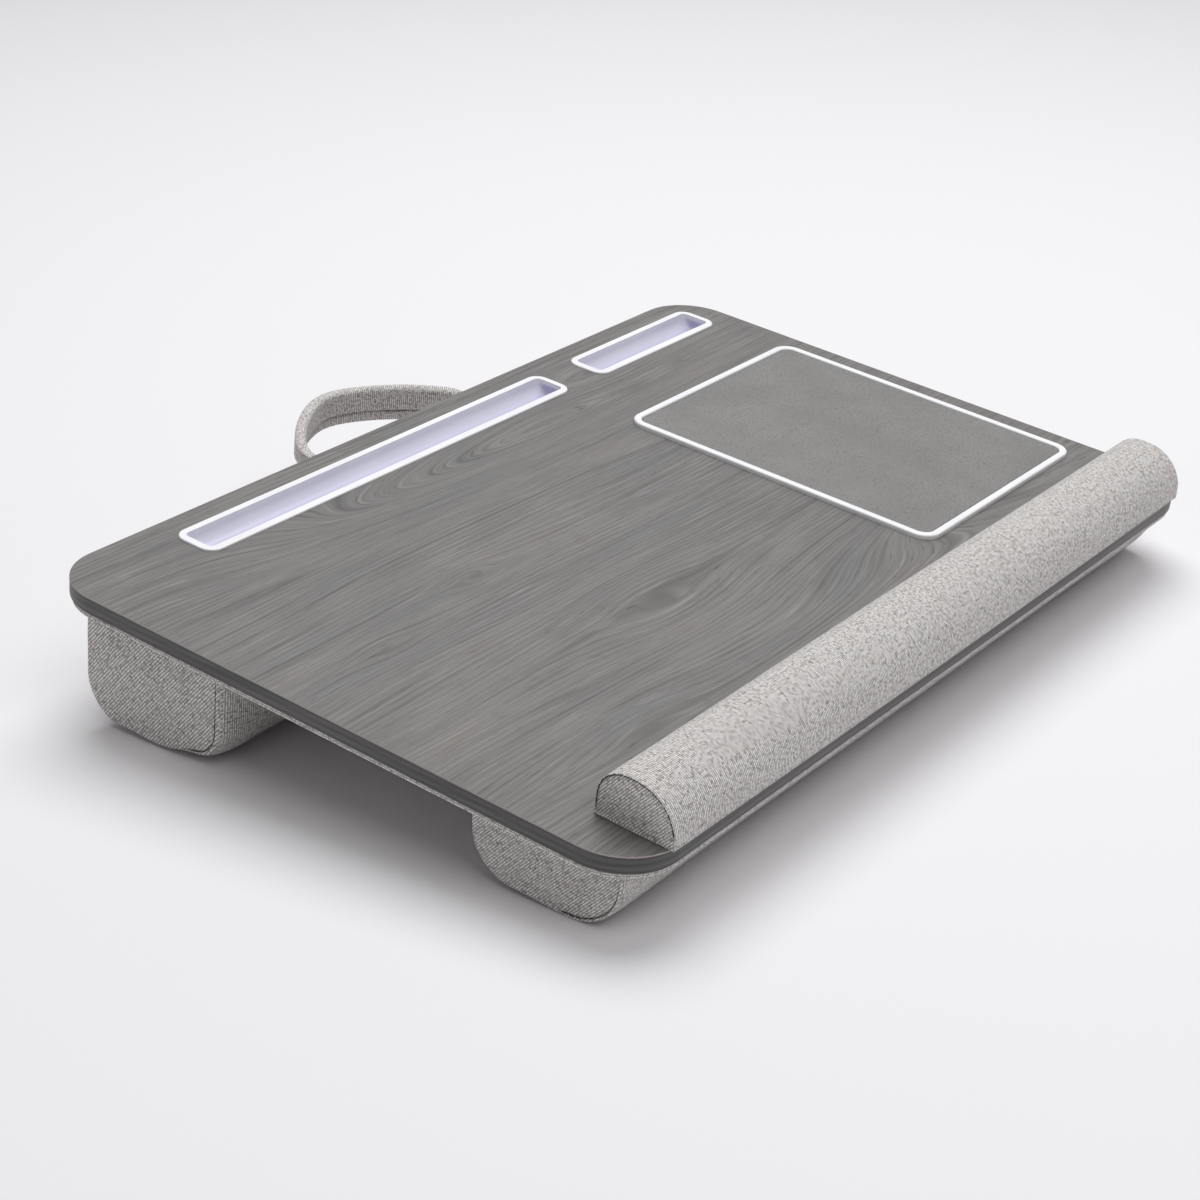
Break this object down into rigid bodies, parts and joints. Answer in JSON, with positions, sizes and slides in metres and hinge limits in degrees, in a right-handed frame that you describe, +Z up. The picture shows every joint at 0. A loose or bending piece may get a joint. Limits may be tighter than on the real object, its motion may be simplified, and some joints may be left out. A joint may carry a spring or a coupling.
{
  "type": "lap tray with cushion",
  "caption": "Lap desk: wood-grain board with slot trays, mouse pad and wrist rest on two soft cushions, with a cloth carrying handle behind it.",
  "frame": {"origin": "middle of the footprint, on the surface that the cushions rest on", "axes": "+X to the user's right, +Y away from the user, +Z up"},
  "size_m": [0.6, 0.4754, 0.0908],
  "materials": {
    "laminate": "matt grey wood-grain laminate",
    "fibreboard": "raw fibreboard",
    "hardboard": "raw hardboard",
    "band": "dark matt edging",
    "white_plastic": "satin moulded",
    "pad_leather": "fine pebbled coated cloth",
    "cloth": "mixed light grey twill",
    "foam": "soft filling"
  },
  "bodies": {
    "desk": {"top_laminate": "laminate", "board_core": "fibreboard", "edge_band": "band", "tablet_tray": "white_plastic", "phone_tray": "white_plastic", "pad_frame": "white_plastic", "pad_foam": "foam", "pad_skin": "pad_leather", "base_panel": "hardboard", "panel_cloth": "cloth", "wrist_rest_sleeve": "cloth", "wrist_rest_end_left": "cloth", "wrist_rest_end_right": "cloth", "wrist_rest_foam": "foam", "rear_cushion_sleeve": "cloth", "rear_cushion_end_left": "cloth", "rear_cushion_end_right": "cloth", "rear_cushion_fill": "foam", "front_cushion_sleeve": "cloth", "front_cushion_end_left": "cloth", "front_cushion_end_right": "cloth", "front_cushion_fill": "foam", "handle_tab_left": "cloth", "handle_tab_right": "cloth"},
    "handle": {"handle_sleeve": "cloth", "handle_padding": "foam"}
  },
  "joints": [
    {"name": "handle_swing", "type": "hinge", "parent": "desk", "child": "handle", "pos_m": [0, 0.1555, 0.0638], "axis": [1, 0, 0], "range_deg": [-50, 20]}
  ]
}
